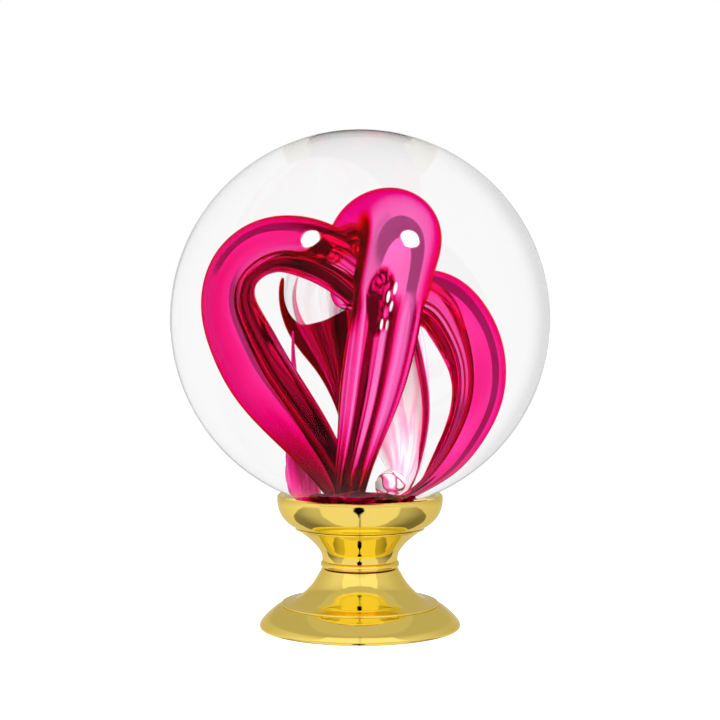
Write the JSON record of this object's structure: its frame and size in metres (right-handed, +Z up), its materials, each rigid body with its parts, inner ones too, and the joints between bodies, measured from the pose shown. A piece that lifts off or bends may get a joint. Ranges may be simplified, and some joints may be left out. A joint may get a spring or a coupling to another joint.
{
  "type": "newel post finial",
  "caption": "Clear glass ball with pink glass loops inside, in a turned brass cup and foot that screws to the top of a stair post.",
  "frame": {"origin": "centre of the foot's flat underside", "axes": "+Z up the axis from the foot to the ball; -Y is the side that the picture shows; +X to the right in it"},
  "size_m": [0.1, 0.1, 0.1314],
  "materials": {
    "polished_brass": "mirror polished and lacquered",
    "plain_brass": "as turned",
    "zinc_steel": "zinc plated",
    "black_nylon": "matt",
    "cured_glue": "smooth",
    "clear_glass": "fire polished, colourless",
    "inner_clear_glass": "clear with a trace of pink",
    "pink_glass": "transparent hot pink that mirrors like foil inside the ball",
    "dark_red_glass": "thick dark red, mirror-like"
  },
  "bodies": {
    "foot": {"base_flange": "polished_brass", "foot_flare": "polished_brass", "foot_bush": "zinc_steel", "bush_washer": "zinc_steel", "bush_nut": "zinc_steel"},
    "slip_washer": {"neck_washer": "black_nylon"},
    "head": {"neck_stem": "polished_brass", "cup_bowl": "polished_brass", "adhesive_pad": "cured_glue", "anchor_bush": "plain_brass", "tie_rod": "zinc_steel", "plain_washer": "zinc_steel", "spring_washer": "zinc_steel", "jam_nut": "zinc_steel", "root_knot": "dark_red_glass", "centre_loop": "pink_glass", "left_loop": "pink_glass", "right_loop": "pink_glass", "core_stem": "dark_red_glass", "rear_goblet": "inner_clear_glass", "rear_petal": "inner_clear_glass", "side_spike": "pink_glass", "droplet": "inner_clear_glass", "glass_ball": "clear_glass"}
  },
  "joints": [
    {"name": "head_turn", "type": "hinge", "parent": "foot", "child": "slip_washer", "pos_m": [0, 0, 0.0154], "axis": [0, 0, 1], "range_deg": [0, 1728]},
    {"name": "thread_lift", "type": "slide", "parent": "slip_washer", "child": "head", "axis": [0, 0, 1], "range_m": [0, 0.006]}
  ],
  "couplings": [
    {"joint": "thread_lift", "follows": "head_turn", "m_per_rad": 0.00019894}
  ]
}
